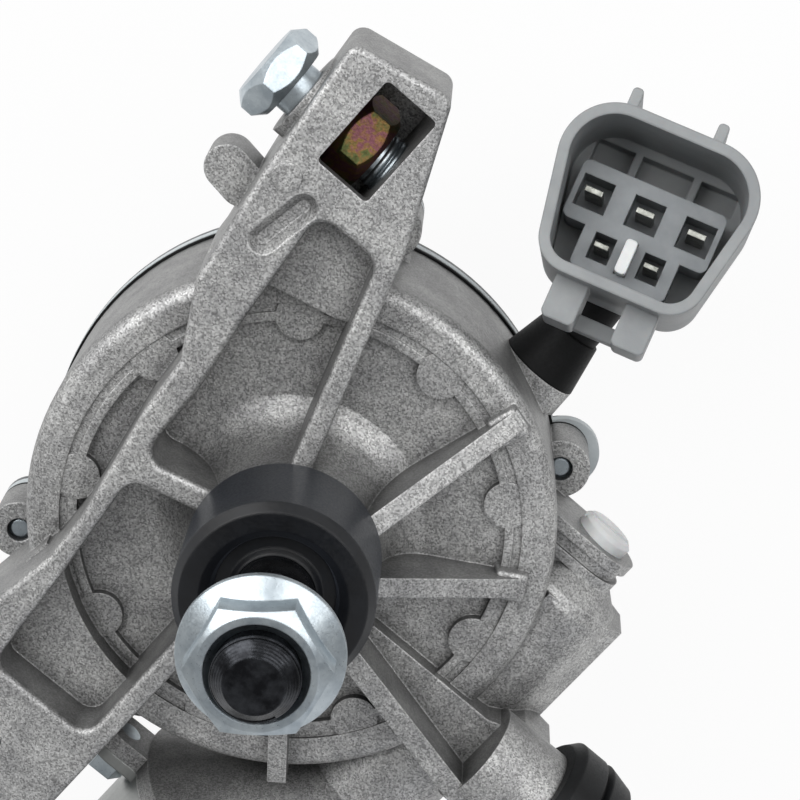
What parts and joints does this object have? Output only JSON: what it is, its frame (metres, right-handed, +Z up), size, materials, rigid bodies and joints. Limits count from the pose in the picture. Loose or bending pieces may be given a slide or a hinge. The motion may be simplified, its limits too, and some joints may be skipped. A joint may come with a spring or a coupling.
{
  "type": "wiper motor",
  "caption": "Geared motor for a wiper: an electric motor drives a worm and wheel in a cast case with mounting arms, a threaded output shaft and a plug socket.",
  "frame": {"origin": "point where the output shaft's axis meets the outer face of the back cover", "axes": "+Z up the output shaft towards its threaded end, +X towards the worm, -Y along the armature towards the motor"},
  "size_m": [0.1303, 0.2039, 0.1041],
  "materials": {
    "cast_aluminium": "as cast, grainy",
    "zinc_steel": "zinc plated",
    "cover_steel": "satin",
    "pale_plastic": "moulded",
    "gasket_rubber": "matt",
    "shaft_steel": "ground",
    "sintered_bronze": "oiled",
    "cap_rubber": "satin",
    "white_plastic": "moulded",
    "wheel_plastic": "moulded",
    "contact_bronze": "bare",
    "yoke_steel": "plated",
    "ferrite": "ground ferrite",
    "core_steel": "laminated",
    "copper": "enamelled copper",
    "dark_plastic": "moulded",
    "carbon": "pressed carbon",
    "yellow_zinc": "yellow passivated",
    "grommet_rubber": "satin",
    "shell_plastic": "moulded",
    "insert_plastic": "moulded",
    "tinned_copper": "tin plated"
  },
  "bodies": {
    "housing": {"gear_housing": "cast_aluminium", "back_cover": "cover_steel", "contact_plate": "pale_plastic", "cover_gasket": "gasket_rubber", "cover_screws": "zinc_steel", "lower_bush": "sintered_bronze", "upper_bush": "sintered_bronze", "thrust_washer": "shaft_steel", "top_washer": "shaft_steel", "shaft_seal": "gasket_rubber", "rubber_cap": "cap_rubber", "contact_fingers": "contact_bronze", "drive_bearing": "sintered_bronze", "end_plug": "white_plastic", "thrust_pin": "shaft_steel", "motor_yoke": "yoke_steel", "yoke_screws": "zinc_steel", "magnets": "ferrite", "brush_holder": "dark_plastic", "brushes": "carbon", "brush_springs": "shaft_steel", "rear_bush": "sintered_bronze", "arm_bolts": "zinc_steel", "arm_nuts": "yellow_zinc", "mount_grommet": "grommet_rubber", "grommet_sleeve": "zinc_steel", "connector_shell": "shell_plastic", "connector_insert": "insert_plastic", "large_blades": "tinned_copper", "small_blades": "tinned_copper", "terminal_lock": "white_plastic", "harness_grommet": "gasket_rubber", "harness_sleeve": "gasket_rubber"},
    "output": {"output_shaft": "shaft_steel", "worm_wheel": "wheel_plastic", "contact_disc": "contact_bronze", "flange_nut": "zinc_steel", "circlip": "shaft_steel"},
    "armature": {"armature_shaft": "shaft_steel", "armature_core": "core_steel", "windings": "copper", "commutator": "copper"}
  },
  "joints": [
    {"name": "armature_spin", "type": "hinge", "parent": "housing", "child": "armature", "pos_m": [0.041, 0, 0.02], "axis": [0, -1, 0], "continuous": true},
    {"name": "output_spin", "type": "hinge", "parent": "housing", "child": "output", "pos_m": [0, 0, 0], "axis": [0, 0, 1], "continuous": true}
  ],
  "couplings": [
    {"joint": "output_spin", "follows": "armature_spin", "ratio": 0.016667}
  ]
}
